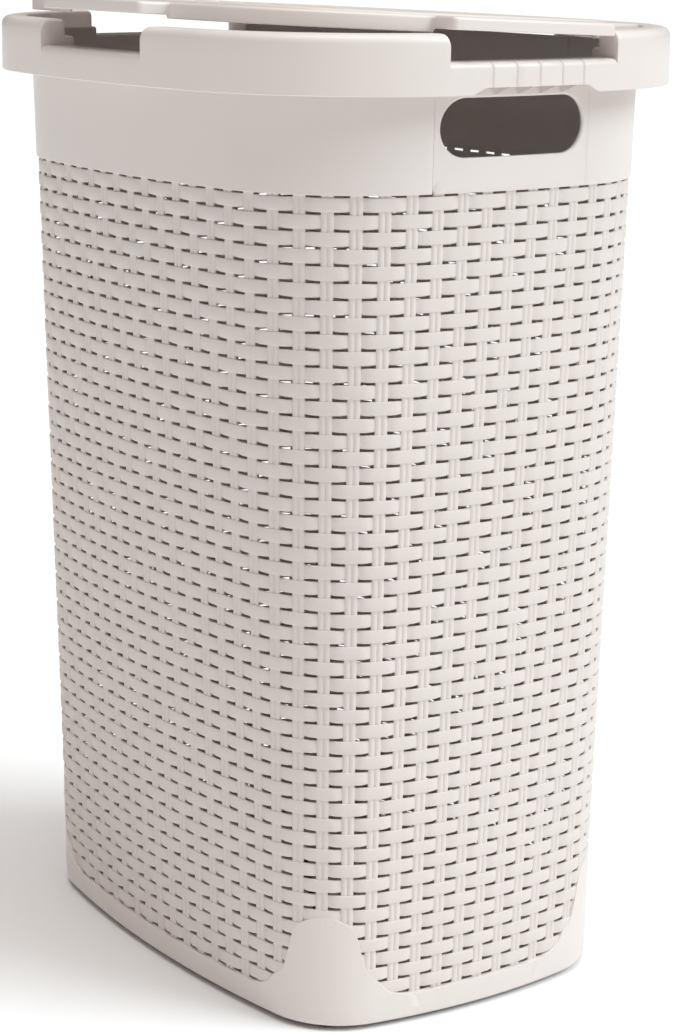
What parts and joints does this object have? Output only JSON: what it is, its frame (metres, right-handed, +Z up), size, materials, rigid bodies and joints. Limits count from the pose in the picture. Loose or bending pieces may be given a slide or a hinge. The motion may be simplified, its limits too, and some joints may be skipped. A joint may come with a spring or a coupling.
{
  "type": "laundry hamper",
  "caption": "Tall tapered moulded laundry hamper with woven-look vented walls, oblong handle holes, an overhanging rim with hand grips and a hinged lid.",
  "frame": {"origin": "centre of the footprint, on the floor that the feet stand on", "axes": "+Z up, -Y towards the front long side where the lid opens, +Y towards the hinge, +X towards the right short side"},
  "size_m": [0.4412, 0.3542, 0.6297],
  "materials": {
    "body_plastic": "ivory polypropylene, fine satin grain",
    "lid_plastic": "ivory polypropylene, smooth satin",
    "pin_plastic": "ivory acetal, smooth",
    "foot_rubber": "dark brown rubber"
  },
  "bodies": {
    "hamper": {"hamper_body": "body_plastic", "hinge_pin_left": "pin_plastic", "hinge_pin_right": "pin_plastic", "foot_front_left": "foot_rubber", "foot_front_right": "foot_rubber", "foot_back_left": "foot_rubber", "foot_back_right": "foot_rubber"},
    "lid": {"lid": "lid_plastic"}
  },
  "joints": [
    {"name": "lid_hinge", "type": "hinge", "parent": "hamper", "child": "lid", "pos_m": [0, 0.1685, 0.607], "axis": [-1, 0, 0], "range_deg": [-2.6, 97.4]}
  ]
}
